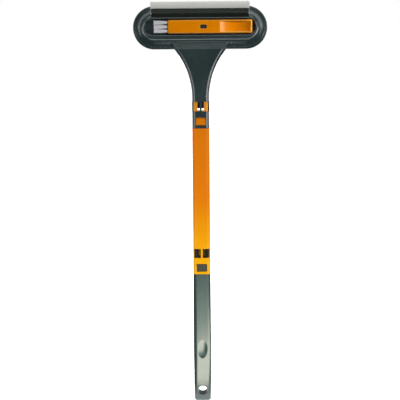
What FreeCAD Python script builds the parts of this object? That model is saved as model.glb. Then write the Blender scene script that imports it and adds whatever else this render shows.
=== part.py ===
import FreeCAD, Part
import math
import os
import Sketcher

# Window scrubber, standing on its handle: X to the right, Y away from the
# viewer, Z up along the pole. The origin is the middle of the hanging hole.
doc = FreeCAD.newDocument("window_scrubber")

# Driving sizes in millimetres, counted from the pole's axis where a face is meant
sizes = {
    # pole and the lengths along it
    "pole_width": 28.4, "pole_depth": 20, "pole_corner": 6, "pole_wall": 2.2,
    "hole_rise": 20, "handle_length": 220.6, "mid_length": 242.3, "head_rise": 161.3,
    "seam_gap": 0.3, "fit_gap": 0.2, "screw_gap": 0.1, "overrun": 2,
    # socket with its windows, from the open end upwards
    "socket_strip": 4.4, "latch_window_height": 13, "latch_window_width": 17,
    "window_land": 10, "corner_window_height": 15.4, "corner_window_reach": 8,
    "rib_width": 3.2, "socket_depth": 45.5, "rear_slot_height": 4.2, "rear_slot_drop": 1.4,
    # plug that fits the socket
    "plug_wall": 2.2, "plug_insert": 30, "fork_gap": 10.4, "fork_drop": 14.4, "prong_gap": 0.6,
    "cavity_drop": 6.1, "plug_screw_drop": 8, "plug_screw_pitch": 13,
    # latch tongue
    "latch_gap": 0.5, "latch_foot_gap": 0.8, "latch_sink": 0.4, "latch_round": 1,
    "lever_thick": 1.6, "lever_width": 13.6, "lever_back": 2.8, "bead_radius": 1.7, "bead_drop": 3.2,
    # handle
    "grip_width": 29.4, "grip_depth": 22, "grip_corner": 6, "grip_rise": 92,
    "end_width": 28.6, "end_depth": 21.4, "end_round": 6, "end_wall": 3,
    "hole_radius": 7.8, "hole_wall": 2.4,
    "dip_width": 16.8, "dip_height": 33, "dip_depth": 1.8, "dip_rise": 92,
    "handle_screw_low": 62, "handle_screw_high": 148, "handle_screw_grip": 13,
    # head
    "flange_width": 215.2, "flange_height": 68.4, "rim_front": 2.5, "dish_slope": 17.2,
    "ridge_front": 15, "ridge_round": 3, "recess_inset": 22.4, "recess_end": 19.6,
    "recess_rise": 1.4, "recess_floor": 5,
    "head_wall": 2.6, "floor_wall": 2.4,
    "peg_width": 9.4, "peg_height": 5.2, "peg_front": 15.4, "peg_shift": 5.2,
    # neck
    "neck_straight": 48.8, "flare_reach": 44, "neck_wall": 2.4,
    "cover_inset": 2, "cover_ledge": 2.2, "cover_thick": 2.4, "cover_foot": 4, "cover_head": 2.5,
    "ramp_height": 10, "ramp_rise": 1.7,
    "cover_screw_low": 14, "cover_screw_high": 46,
    # squeegee
    "holder_inset": 30.6, "holder_foot": 15.6, "holder_leg": 5.5, "holder_height": 14.2,
    "lip_height": 6.2, "lip_reach": 10.2, "saddle_gap": 0.5, "blade_overhang": 1.2,
    "blade_bead": 1.9, "blade_root": 2.2, "blade_tip": 1.2, "blade_rise": 18.6, "blade_lean": 9.7,
    "bead_up": 6.4, "bead_in": 2.9, "blade_gap": 0.15, "holder_screw_inset": 17, "holder_screw_grip": 3.8,
    # gap brush
    "brush_end_gap": 5.4, "tuft_end_gap": 14.2, "brush_side_gap": 1.2, "brush_front": 18.2,
    "brush_corner": 2.8, "brush_chamfer": 1.4, "brush_seat_gap": 0.3, "peg_fit": 0.4,
    "scoop_length": 48.8, "scoop_depth": 6.1, "scoop_rim": 2.4,
    "tuft_radius": 2.2, "tuft_splay": 3.15, "tuft_length": 21.4, "tuft_hole": 9,
    "tuft_pitch": 6.9, "tuft_row_pitch": 6.4,
    "anchor_thick": 0.6, "anchor_length": 2.2, "anchor_width": 3.6,
    # scrubbing pad
    "plate_inset": 4, "plate_thick": 3, "hook_inset": 10, "hook_thick": 1.2,
    "backing_inset": 7, "backing_thick": 1, "foam_inset": 16, "foam_thick": 8, "foam_gap": 0.3,
    "pad_inset": 4, "pad_thick": 15, "pad_corner_gap": 2,
    "plate_screw_end": 19, "plate_screw_span": 46, "plate_screw_rise": 22,
    # screws
    "screw_radius": 1.4, "screw_head_radius": 2.7, "screw_head_thick": 1.5, "boss_radius": 3.4,
    "screw_grip": 9,
}
sheet = doc.addObject("Spreadsheet::Sheet", "sizes")
for row, (name, amount) in enumerate(sizes.items(), start=1):
    sheet.set("A%d" % row, name)
    sheet.set("B%d" % row, str(amount))
    sheet.setAlias("B%d" % row, name)
doc.recompute()


class Size:
    """A length that carries its expression for the document and its present value."""

    def __init__(self, text, value):
        self.text = text
        self.value = value

    def __add__(self, other):
        other = as_size(other)
        return Size("(%s + %s)" % (self.text, other.text), self.value + other.value)

    def __sub__(self, other):
        other = as_size(other)
        return Size("(%s - %s)" % (self.text, other.text), self.value - other.value)

    def __rsub__(self, other):
        return as_size(other) - self

    def __mul__(self, factor):
        return Size("(%s * %r)" % (self.text, factor), self.value * factor)

    def __truediv__(self, factor):
        return Size("(%s / %r)" % (self.text, factor), self.value / factor)

    def __neg__(self):
        return Size("(0 - %s)" % self.text, -self.value)

    __radd__ = __add__
    __rmul__ = __mul__


def as_size(amount):
    return amount if isinstance(amount, Size) else Size(repr(amount), amount)


class Sizes:
    """The sheet's cells as named lengths."""


s = Sizes()
for name in sizes:
    setattr(s, name, Size("sizes.%s" % name, float(sheet.get(name))))


def bind(thing, prop, amount):
    thing.setExpression(prop, as_size(amount).text)


def new_sketch(body, plane, start):
    sketch = body.newObject("Sketcher::SketchObject", body.Name + "_sketch")
    origin_plane = [f for f in body.Origin.OriginFeatures if f.Role == plane][0]
    sketch.AttachmentSupport = [(origin_plane, "")]
    sketch.MapMode = "FlatFace"
    bind(sketch, "AttachmentOffset.Base.z", start)
    return sketch


def dimension(sketch, kind, places, amount):
    index = sketch.addConstraint(Sketcher.Constraint(kind, *places, as_size(amount).value))
    sketch.setExpression("Constraints[%d]" % index, as_size(amount).text)


def place_point(sketch, geometry, end, u, v):
    dimension(sketch, "DistanceX", (-1, 1, geometry, end), u)
    dimension(sketch, "DistanceY", (-1, 1, geometry, end), v)


def draw_belt(sketch, discs):
    """Outline round discs (u, v, radius), given counter-clockwise: arcs and tangent lines."""
    flat = [(as_size(u).value, as_size(v).value, as_size(r).value) for u, v, r in discs]
    normals = []
    for (u, v, r), (next_u, next_v, next_r) in zip(flat, flat[1:] + flat[:1]):
        span = math.hypot(next_u - u, next_v - v)
        along = ((next_u - u) / span, (next_v - v) / span)
        sine = (r - next_r) / span
        cosine = math.sqrt(1 - sine * sine)
        normals.append((along[1] * cosine + along[0] * sine, -along[0] * cosine + along[1] * sine))
    arcs = []
    for index, (u, v, r) in enumerate(flat):
        first = math.atan2(normals[index - 1][1], normals[index - 1][0])
        last = math.atan2(normals[index][1], normals[index][0])
        if last <= first:
            last += 2 * math.pi
        circle = Part.Circle(FreeCAD.Vector(u, v, 0), FreeCAD.Vector(0, 0, 1), r)
        arcs.append(sketch.addGeometry(Part.ArcOfCircle(circle, first, last)))
    lines = []
    for index, (u, v, r) in enumerate(flat):
        next_u, next_v, next_r = flat[(index + 1) % len(flat)]
        across = normals[index]
        leave = FreeCAD.Vector(u + r * across[0], v + r * across[1], 0)
        arrive = FreeCAD.Vector(next_u + next_r * across[0], next_v + next_r * across[1], 0)
        lines.append(sketch.addGeometry(Part.LineSegment(leave, arrive)))
    for index, line in enumerate(lines):
        sketch.addConstraint(Sketcher.Constraint("Tangent", arcs[index], 2, line, 1))
        sketch.addConstraint(Sketcher.Constraint("Tangent", line, 2, arcs[(index + 1) % len(arcs)], 1))
    for arc, (u, v, r) in zip(arcs, discs):
        place_point(sketch, arc, 3, u, v)
        dimension(sketch, "Radius", (arc,), r)


def draw_polygon(sketch, corners):
    points = [FreeCAD.Vector(as_size(u).value, as_size(v).value, 0) for u, v in corners]
    lines = [sketch.addGeometry(Part.LineSegment(here, there))
             for here, there in zip(points, points[1:] + points[:1])]
    for line, follower in zip(lines, lines[1:] + lines[:1]):
        sketch.addConstraint(Sketcher.Constraint("Coincident", line, 2, follower, 1))
    for line, (u, v) in zip(lines, corners):
        place_point(sketch, line, 1, u, v)


def racetrack(width, height, v):
    reach = (width - height) / 2
    return [(-reach, v, height / 2), (reach, v, height / 2)]


def arc_radius(half_chord, depth):
    """Radius of the arc that dips by a depth over a chord."""
    return Size("((%s^2 + %s^2) / (2 * %s))" % (half_chord.text, depth.text, depth.text),
                (half_chord.value ** 2 + depth.value ** 2) / (2 * depth.value))


def rounded(width, height, corner, u=0, v=0):
    far_u = width / 2 - corner
    far_v = height / 2 - corner
    return [(u - far_u, v - far_v, corner), (u + far_u, v - far_v, corner),
            (u + far_u, v + far_v, corner), (u - far_u, v + far_v, corner)]


def new_body(label):
    body = doc.addObject("PartDesign::Body", label)
    body.Label = label
    return body


def pad_sketch(body, sketch, length):
    pad = body.newObject("PartDesign::Pad", body.Name + "_pad")
    pad.Profile = sketch
    bind(pad, "Length", length)
    doc.recompute()
    return pad


def slab(label, plane, start, length, *belts):
    """Pad of one outline, or of an outline with a hole, from start along the plane's normal."""
    body = new_body(label)
    sketch = new_sketch(body, plane, start)
    for belt in belts:
        draw_belt(sketch, belt)
    pad_sketch(body, sketch, length)
    return body


def bar(label, plane, start, length, corners):
    body = new_body(label)
    sketch = new_sketch(body, plane, start)
    draw_polygon(sketch, corners)
    pad_sketch(body, sketch, length)
    return body


def round_edges(body, radius, wanted):
    """Fillet of the body's edges for which wanted(edge) is true."""
    base = body.Tip
    names = ["Edge%d" % (i + 1) for i, edge in enumerate(base.Shape.Edges) if wanted(edge)]
    fillet = body.newObject("PartDesign::Fillet", body.Name + "_fillet")
    fillet.Base = (base, names)
    bind(fillet, "Radius", radius)
    doc.recompute()
    return body


def bevel_edges(body, amount, wanted):
    base = body.Tip
    names = ["Edge%d" % (i + 1) for i, edge in enumerate(base.Shape.Edges) if wanted(edge)]
    chamfer = body.newObject("PartDesign::Chamfer", body.Name + "_chamfer")
    chamfer.Base = (base, names)
    bind(chamfer, "Size", amount)
    doc.recompute()
    return body


def on_plane(axis, place):
    """Test for edges that lie wholly on one plane square to an axis."""
    near = 1e-4
    return lambda edge: (abs(getattr(edge.BoundBox, axis + "Min") - place.value) < near
                         and abs(getattr(edge.BoundBox, axis + "Max") - place.value) < near)


def box(label, x, y, z):
    """Box from three (low, high) pairs."""
    block = doc.addObject("Part::Box", label)
    for axis, edge, (low, high) in zip("xyz", ("Length", "Width", "Height"), (x, y, z)):
        bind(block, "Placement.Base." + axis, low)
        bind(block, edge, as_size(high) - low)
    return block


turns = {
    "up": FreeCAD.Rotation(),
    "front": FreeCAD.Rotation(FreeCAD.Vector(1, 0, 0), 90),
    "left": FreeCAD.Rotation(FreeCAD.Vector(0, 1, 0), -90),
    "right": FreeCAD.Rotation(FreeCAD.Vector(0, 1, 0), 90),
}


def rod(label, way, x, y, z, radius, length, end_radius=None):
    """Round bar from (x, y, z) upwards or to the front, left or right; a cone if it has an end radius."""
    kind = "Part::Cylinder" if end_radius is None else "Part::Cone"
    bar_object = doc.addObject(kind, label)
    bar_object.Placement = FreeCAD.Placement(FreeCAD.Vector(), turns[way])
    for axis, place in zip("xyz", (x, y, z)):
        bind(bar_object, "Placement.Base." + axis, place)
    bind(bar_object, "Height", length)
    if end_radius is None:
        bind(bar_object, "Radius", radius)
    else:
        bind(bar_object, "Radius1", radius)
        bind(bar_object, "Radius2", end_radius)
    return bar_object


def fuse(label, pieces):
    whole = doc.addObject("Part::MultiFuse", label)
    whole.Shapes = pieces
    whole.Label = label
    doc.recompute()
    return whole


def cut(label, base, tools):
    tool = tools[0] if len(tools) == 1 else fuse(label + "_tools", tools)
    rest = doc.addObject("Part::Cut", label)
    rest.Base = base
    rest.Tool = tool
    rest.Label = label
    doc.recompute()
    if not rest.Shape.Volume < base.Shape.Volume:
        raise RuntimeError("%s: the cut removes nothing" % label)
    return rest


def common(label, first, second):
    shared = doc.addObject("Part::MultiCommon", label)
    shared.Shapes = [first, second]
    shared.Label = label
    doc.recompute()
    return shared


def group(label, pieces):
    whole = doc.addObject("Part::Compound", label)
    whole.Links = pieces
    whole.Label = label
    doc.recompute()
    return whole


# Heights of the two shoulders, where one section stands on the next, and of the head's middle
handle_end = -s.hole_rise
lower_shoulder = s.handle_length - s.hole_rise
upper_shoulder = lower_shoulder + s.mid_length
head_middle = upper_shoulder + s.head_rise
pole_front = -s.pole_depth / 2
pole_back = s.pole_depth / 2
bore_width = s.pole_width - s.pole_wall * 2
bore_depth = s.pole_depth - s.pole_wall * 2
bore_corner = s.pole_corner - s.pole_wall
pole_outline = rounded(s.pole_width, s.pole_depth, s.pole_corner)
bore_outline = rounded(bore_width, bore_depth, bore_corner)
nodes = []


def keep(piece):
    nodes.append(piece)
    return piece


def screws(label, places, head_back, grip):
    """Pan-head screws along Y, heads at the back: places are (x, z)."""
    singles = []
    for index, (x, z) in enumerate(places):
        head = rod("%s_head%d" % (label, index), "front", x, head_back, z, s.screw_head_radius,
                   s.screw_head_thick)
        shank = rod("%s_shank%d" % (label, index), "front", x, head_back, z, s.screw_radius,
                    s.screw_head_thick + grip)
        singles.append(fuse("%s_screw%d" % (label, index), [head, shank]))
    return keep(group(label, singles) if len(singles) > 1 else singles[0])


def screw_holes(label, places, head_back, grip):
    """Holes for such screws, open at the back."""
    tools = []
    for index, (x, z) in enumerate(places):
        tools.append(rod("%s_sink%d" % (label, index), "front", x, head_back + s.overrun, z,
                         s.screw_head_radius + s.screw_gap, s.screw_head_thick + s.overrun))
        tools.append(rod("%s_bore%d" % (label, index), "front", x, head_back, z,
                         s.screw_radius + s.screw_gap, s.screw_head_thick + grip + s.screw_gap))
    return tools


def bosses(label, places, back, front):
    return [rod("%s_boss%d" % (label, index), "front", x, back, z, s.boss_radius, back - front)
            for index, (x, z) in enumerate(places)]


# Windows of a socket whose open end is at the given height
latch_low = s.socket_strip
latch_high = latch_low + s.latch_window_height
corner_low = latch_high + s.window_land
corner_high = corner_low + s.corner_window_height
fork_root = corner_high - s.fork_drop


def socket_windows(label, end):
    wall_inside = pole_front + s.pole_wall
    corner_back = pole_front + s.corner_window_reach
    far_side = s.pole_width / 2 + s.overrun
    latch_window = box(label + "_latch_window",
                       (-s.latch_window_width / 2, s.latch_window_width / 2),
                       (pole_front - s.overrun, wall_inside + bore_corner),
                       (end + latch_low, end + latch_high))
    corners = [box("%s_corner_window%d" % (label, index), span,
                   (pole_front - s.overrun, corner_back), (end + corner_low, end + corner_high))
               for index, span in enumerate([(-far_side, -s.rib_width / 2), (s.rib_width / 2, far_side)])]
    return [latch_window] + corners


# Slot behind the fork that lets light through the corner windows
def rear_slot(label, end):
    low = end + fork_root - s.rear_slot_drop
    return box(label + "_rear_slot", (-s.fork_gap / 2, s.fork_gap / 2),
               (pole_back - s.pole_wall - s.fit_gap, pole_back + s.overrun),
               (low, low + s.rear_slot_height))


# Forked plug that stands out of a section's top, and the latch that it carries
plug_width = bore_width - s.fit_gap * 2
plug_depth = bore_depth - s.fit_gap * 2
plug_corner = bore_corner - s.fit_gap
plug_front = -plug_depth / 2
bead_rise = fork_root - s.bead_drop
lever_front = -s.lever_back - s.lever_thick
bead_depth = -s.lever_back - s.lever_thick / 2
plug_screw_drops = [s.plug_screw_drop, s.plug_screw_drop + s.plug_screw_pitch]


def make_plug(label, shoulder):
    low = shoulder - s.plug_insert
    tip = shoulder + s.socket_depth + s.seam_gap - s.prong_gap
    form = slab(label + "_form", "XY_Plane", low, tip - low, rounded(plug_width, plug_depth, plug_corner))
    cavity = slab(label + "_cavity", "XY_Plane", low - s.overrun,
                  s.plug_insert + fork_root - s.cavity_drop + s.overrun,
                  rounded(plug_width - s.plug_wall * 2, plug_depth - s.plug_wall * 2,
                          plug_corner - s.plug_wall))
    fork = box(label + "_fork", (-s.fork_gap / 2, s.fork_gap / 2),
               (plug_front - s.overrun, -plug_front + s.overrun), (shoulder + fork_root, tip + s.overrun))
    window = box(label + "_window",
                 (-s.latch_window_width / 2, s.latch_window_width / 2),
                 (plug_front - s.overrun, plug_front + plug_corner),
                 (shoulder + latch_low - s.latch_foot_gap, shoulder + latch_high))
    side = plug_width / 2 + s.overrun
    seat_radius = s.bead_radius + s.fit_gap
    seat = rod(label + "_bead_seat", "right", -side, bead_depth, shoulder + bead_rise, seat_radius, side * 2)
    slot = box(label + "_lever_slot", (-side, side),
               (lever_front - s.fit_gap, -s.lever_back + s.fit_gap * 4),
               (shoulder + fork_root - s.cavity_drop - s.overrun, shoulder + bead_rise))
    places = [(0, shoulder - drop) for drop in plug_screw_drops]
    holes = screw_holes(label + "_hole", places, pole_back, s.pole_wall + s.plug_wall + s.fit_gap)
    keep(cut(label, form, [cavity, fork, window, seat, slot] + holes))
    screws(label + "_screws", places, pole_back, s.pole_wall + s.plug_wall + s.fit_gap - s.screw_head_thick)
    return places


def make_latch(label, shoulder):
    pad_low = shoulder + latch_low + s.latch_foot_gap
    pad_high = shoulder + latch_high - s.latch_gap
    pad_reach = s.latch_window_width / 2 - s.latch_gap
    front = pole_front + s.latch_sink
    press_pad = bar(label + "_pad", "XZ_Plane", -lever_front - s.lever_thick / 2,
                    lever_front + s.lever_thick / 2 - front,
                    [(-pad_reach, pad_low), (pad_reach, pad_low),
                     (pad_reach, pad_high), (-pad_reach, pad_high)])
    round_edges(press_pad, s.latch_round, on_plane("Y", front))
    lever = box(label + "_lever", (-s.lever_width / 2, s.lever_width / 2),
                (lever_front, -s.lever_back), (pad_low, shoulder + bead_rise))
    bead = rod(label + "_bead", "right", -s.lever_width / 2, bead_depth, shoulder + bead_rise,
               s.bead_radius, s.lever_width)
    keep(fuse(label, [press_pad, lever, bead]))


# Handle: two shells round a hollow, with the thumb dip in front and the hanging hole low down
def make_handle():
    end_outline = rounded(s.end_width, s.end_depth, s.grip_corner)
    form = slab("handle_form", "XY_Plane", handle_end, s.hole_rise * 2, end_outline)
    round_edges(form, s.end_round, on_plane("Z", handle_end))
    sections = []
    for height, outline in [(s.hole_rise, end_outline),
                            (handle_end + s.grip_rise, rounded(s.grip_width, s.grip_depth, s.grip_corner)),
                            (lower_shoulder, pole_outline)]:
        sketch = new_sketch(form, "XY_Plane", height)
        draw_belt(sketch, outline)
        sections.append(sketch)
    loft = form.newObject("PartDesign::AdditiveLoft", "handle_loft")
    loft.Profile = sections[0]
    loft.Sections = sections[1:]
    loft.Ruled = True
    doc.recompute()

    # Spindle that hollows the thumb dip: two arcs, across and along the grip
    across = s.dip_width / 2
    along = s.dip_height / 2
    spindle_radius = arc_radius(across, s.dip_depth)
    side_radius = arc_radius(along, s.dip_depth)
    middle = spindle_radius - side_radius
    half_height = Size("sqrt(%s^2 - %s^2)" % (side_radius.text, middle.text),
                       math.sqrt(side_radius.value ** 2 - middle.value ** 2))
    axis_depth = -s.grip_depth / 2 + s.dip_depth - spindle_radius
    dip = new_body("thumb_dip")
    sketch = new_sketch(dip, "YZ_Plane", 0)
    bind(sketch, "AttachmentOffset.Base.x", axis_depth)
    bind(sketch, "AttachmentOffset.Base.y", handle_end + s.dip_rise)
    swing = math.atan2(half_height.value, -middle.value)
    circle = Part.Circle(FreeCAD.Vector(middle.value, 0, 0), FreeCAD.Vector(0, 0, 1), side_radius.value)
    arc = sketch.addGeometry(Part.ArcOfCircle(circle, -swing, swing))
    line = sketch.addGeometry(Part.LineSegment(FreeCAD.Vector(0, half_height.value, 0),
                                               FreeCAD.Vector(0, -half_height.value, 0)))
    sketch.addConstraint(Sketcher.Constraint("Coincident", arc, 2, line, 1))
    sketch.addConstraint(Sketcher.Constraint("Coincident", line, 2, arc, 1))
    place_point(sketch, arc, 3, middle, 0)
    dimension(sketch, "Radius", (arc,), side_radius)
    sketch.addConstraint(Sketcher.Constraint("PointOnObject", line, 1, -2))
    sketch.addConstraint(Sketcher.Constraint("PointOnObject", line, 2, -2))
    turn = dip.newObject("PartDesign::Revolution", "thumb_dip_turn")
    turn.Profile = sketch
    turn.ReferenceAxis = (sketch, ["V_Axis"])
    doc.recompute()

    hollow = slab("handle_hollow", "XY_Plane", handle_end + s.end_wall,
                  s.handle_length - s.end_wall + s.overrun, bore_outline)
    hole_reach = s.grip_depth / 2 + s.overrun
    ring_radius = s.hole_radius + s.hole_wall
    hole = rod("hang_hole", "front", 0, hole_reach, 0, s.hole_radius, hole_reach * 2)
    ring = common("hang_hole_ring", form,
                  rod("hang_hole_rod", "front", 0, hole_reach, 0, ring_radius, hole_reach * 2))
    side = s.grip_width + s.overrun
    places = [(0, handle_end + s.handle_screw_low), (0, handle_end + s.handle_screw_high)]
    head_back = bore_depth / 2 + s.screw_head_thick
    posts = bosses("handle_post", places, head_back, -bore_depth / 2 - s.fit_gap)
    holes = screw_holes("handle_hole", places, head_back, s.handle_screw_grip)
    walls = cut("handle_walls", form, [hollow, dip])
    walls_posts = fuse("handle_walls_posts", [walls] + posts)
    front_half = box("handle_front_half", (-side, side), (-side, -s.fit_gap / 2),
                     (handle_end - s.overrun, lower_shoulder + s.overrun))
    back_half = box("handle_back_half", (-side, side), (s.fit_gap / 2, side),
                    (handle_end - s.overrun, lower_shoulder + s.overrun))
    plug_places = [(0, lower_shoulder - drop) for drop in plug_screw_drops]
    plug_holes = screw_holes("handle_plug_hole", plug_places, pole_back, s.pole_wall + s.fit_gap)
    front = fuse("handle_front", [common("handle_front_walls", walls_posts, front_half), ring])
    keep(cut("handle_front_shell", front, [hole] + holes))
    ring_room = rod("hang_hole_room", "front", 0, hole_reach, 0, ring_radius + s.screw_gap, hole_reach * 2)
    keep(cut("handle_back_shell", common("handle_back_walls", walls_posts, back_half),
             [ring_room] + holes + plug_holes))
    screws("handle_screws", places, head_back, s.handle_screw_grip)


# Middle pole: a tube with the socket at its lower end
def make_mid_pole(plug_places):
    low = lower_shoulder + s.seam_gap
    tube = slab("mid_pole_form", "XY_Plane", low, upper_shoulder - low, pole_outline, bore_outline)
    holes = screw_holes("mid_pole_hole", plug_places, pole_back, s.pole_wall + s.fit_gap)
    keep(cut("mid_pole_tube", tube, socket_windows("lower_socket", low) + holes))


# Fan outline of the neck, drawn in by an inset, between two heights
neck_tangent = upper_shoulder + s.neck_straight
flange_low = head_middle - s.flange_height / 2
neck_top = flange_low + s.dish_slope
flare_radius = arc_radius(neck_top - neck_tangent, s.flare_reach)


def draw_fan(sketch, inset, low, high):
    radius = flare_radius + inset
    centre = s.pole_width / 2 + flare_radius
    lift = neck_tangent.value

    def half_width(height):
        return centre.value - math.sqrt(radius.value ** 2 - (height.value - lift) ** 2)

    corners = [FreeCAD.Vector(side * half_width(height), height.value, 0)
               for side, height in [(-1, low), (1, low), (1, high), (-1, high)]]

    def angle(point, side):
        return math.atan2(point.y - lift, point.x - side * centre.value) % (2 * math.pi)

    foot = sketch.addGeometry(Part.LineSegment(corners[0], corners[1]))
    top = sketch.addGeometry(Part.LineSegment(corners[2], corners[3]))
    arcs = []
    for side, first, last in [(1, corners[2], corners[1]), (-1, corners[0], corners[3])]:
        middle = FreeCAD.Vector(side * centre.value, lift, 0)
        circle = Part.Circle(middle, FreeCAD.Vector(0, 0, 1), radius.value)
        arcs.append(sketch.addGeometry(Part.ArcOfCircle(circle, angle(first, side), angle(last, side))))
    for here, there in [((foot, 2), (arcs[0], 2)), ((arcs[0], 1), (top, 1)),
                        ((top, 2), (arcs[1], 2)), ((arcs[1], 1), (foot, 1))]:
        sketch.addConstraint(Sketcher.Constraint("Coincident", *here, *there))
    for side, arc in zip((1, -1), arcs):
        place_point(sketch, arc, 3, centre * side, neck_tangent)
        dimension(sketch, "Radius", (arc,), radius)
    for line, height in [(foot, low), (top, high)]:
        dimension(sketch, "DistanceY", (-1, 1, line, 1), height)
        dimension(sketch, "DistanceY", (-1, 1, line, 2), height)


def fan(label, inset, low, high, back, front):
    body = new_body(label)
    sketch = new_sketch(body, "XZ_Plane", -back)
    draw_fan(sketch, inset, low, high)
    pad_sketch(body, sketch, back - front)
    return body


# Head: dish with a soft ridge round the brush recess, fan neck and upper socket
recess_width = s.flange_width - s.recess_end * 2
recess_height = s.flange_height - s.recess_inset * 2
recess_middle = head_middle + s.recess_rise

# Profile of the dish from rim to crest: shares of its rise and of its slope's width
dish_shares = [(0, 0), (0.1, 0.033), (0.19, 0.13), (0.29, 0.3), (0.46, 0.467), (0.7, 0.633),
               (0.91, 0.8), (0.98, 0.907), (1, 1)]
dish_rise = s.ridge_front - s.rim_front
holder_base = head_middle + s.holder_foot
holder_length = s.flange_width - s.holder_inset * 2
holder_step = holder_length / 2 - s.holder_screw_inset
holder_places = [(holder_step * step, holder_base + s.holder_leg / 2) for step in (-1, 0, 1)]
cavity_front = -s.recess_floor + s.floor_wall
plate_side = s.flange_width / 2 - s.plate_screw_end
plate_places = [(plate_side, head_middle), (-plate_side, head_middle)]
plate_places += [(s.plate_screw_span * x, head_middle + s.plate_screw_rise * z)
                 for x in (-1, 1) for z in (-1, 1)]
cover_places = [(0, neck_tangent + s.cover_screw_low), (0, neck_tangent + s.cover_screw_high)]
peg_middle = s.peg_shift


def inset_track(inset):
    return racetrack(s.flange_width - inset * 2, s.flange_height - inset * 2, head_middle)


def make_head():
    dish = slab("head_dish", "XZ_Plane", -pole_back, pole_back + s.rim_front, inset_track(as_size(0)))
    sections = []
    for rise_share, slope_share in dish_shares:
        sketch = new_sketch(dish, "XZ_Plane", s.rim_front + dish_rise * rise_share)
        draw_belt(sketch, inset_track(s.dish_slope * slope_share))
        sections.append(sketch)
    loft = dish.newObject("PartDesign::AdditiveLoft", "head_dish_loft")
    loft.Profile = sections[0]
    loft.Sections = sections[1:]
    doc.recompute()
    recess = new_sketch(dish, "XZ_Plane", s.ridge_front)
    draw_belt(recess, racetrack(recess_width, recess_height, recess_middle))
    pocket = dish.newObject("PartDesign::Pocket", "brush_recess")
    pocket.Profile = recess
    bind(pocket, "Length", s.ridge_front - s.recess_floor)
    doc.recompute()
    near = 1e-4
    crest = on_plane("Y", -s.ridge_front)
    recess_low = recess_middle.value - recess_height.value / 2 - near
    recess_high = recess_middle.value + recess_height.value / 2 + near
    round_edges(dish, s.ridge_round, lambda edge: crest(edge) and edge.BoundBox.ZMin > recess_low
                and edge.BoundBox.ZMax < recess_high)
    neck = fan("neck_form", as_size(0), neck_tangent, neck_top, pole_back, pole_front)
    round_edges(neck, s.pole_corner, lambda edge: isinstance(edge.Curve, Part.Circle))
    end = upper_shoulder + s.seam_gap
    stem = slab("neck_stem", "XY_Plane", end, s.neck_straight - s.seam_gap + s.overrun, pole_outline)
    ramp_front = pole_front - s.ramp_rise
    ramp_fan = fan("neck_ramp_fan", as_size(0), flange_low, neck_top, as_size(0), ramp_front)
    round_edges(ramp_fan, s.pole_corner,
                lambda edge: isinstance(edge.Curve, Part.Circle) and on_plane("Y", ramp_front)(edge))
    wedge = bar("neck_ramp_wedge", "YZ_Plane", -s.flange_height, s.flange_height * 2,
                [(as_size(0), flange_low), (as_size(0), neck_top), (ramp_front, neck_top),
                 (ramp_front, flange_low + s.ramp_height), (pole_front, flange_low)])
    form = fuse("head_form", [dish, neck, stem, common("neck_ramp", ramp_fan, wedge)])

    hollow = slab("head_hollow", "XZ_Plane", -pole_back - s.overrun, pole_back - cavity_front + s.overrun,
                  inset_track(s.head_wall))
    socket = slab("upper_socket_bore", "XY_Plane", end - s.overrun, s.socket_depth + s.overrun, bore_outline)
    cover_low = neck_tangent + s.cover_foot
    cover_high = flange_low - s.cover_head
    cover_room = fan("neck_cover_room", s.cover_inset, cover_low, cover_high,
                     pole_back + s.overrun, pole_back - s.cover_thick)
    ledge = s.cover_inset + s.cover_ledge
    neck_hollow = fan("neck_hollow", ledge, cover_low + s.cover_ledge, cover_high - s.cover_ledge,
                      pole_back, pole_front + s.neck_wall)
    shell = cut("head_hollowed", form, [hollow, socket, cover_room, neck_hollow]
                + socket_windows("upper_socket", end) + [rear_slot("upper_socket", end)])
    seat = pole_back - s.cover_thick
    posts = bosses("plate_post", plate_places, pole_back, cavity_front - s.fit_gap)
    posts += bosses("cover_post", cover_places, seat, pole_front + s.neck_wall - s.fit_gap)
    peg = box("brush_peg", (peg_middle - s.peg_width / 2, peg_middle + s.peg_width / 2),
              (-s.peg_front, -s.recess_floor + s.fit_gap),
              (recess_middle - s.peg_height / 2, recess_middle + s.peg_height / 2))
    whole = fuse("head_whole", [shell, peg] + posts)
    pilots = []
    for label, places, back, depth in [("plate", plate_places, pole_back, s.screw_grip),
                                       ("cover", cover_places, seat, s.screw_grip),
                                       ("holder", holder_places, cavity_front,
                                        cavity_front + s.ridge_front + s.overrun)]:
        for index, (x, z) in enumerate(places):
            pilots.append(rod("%s_pilot%d" % (label, index), "front", x, back + s.overrun, z,
                              s.screw_radius + s.screw_gap, depth + s.overrun))
    keep(cut("head_shell", whole, pilots))

    cover_form = common("neck_cover_form", neck,
                        fan("neck_cover_fan", s.cover_inset + s.fit_gap, cover_low + s.fit_gap,
                            cover_high - s.fit_gap, pole_back, seat))
    keep(cut("neck_cover", cover_form,
             screw_holes("neck_cover_hole", cover_places, pole_back, s.cover_thick)))
    screws("neck_cover_screws", cover_places, pole_back, s.screw_grip - s.screw_head_thick)


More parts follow.
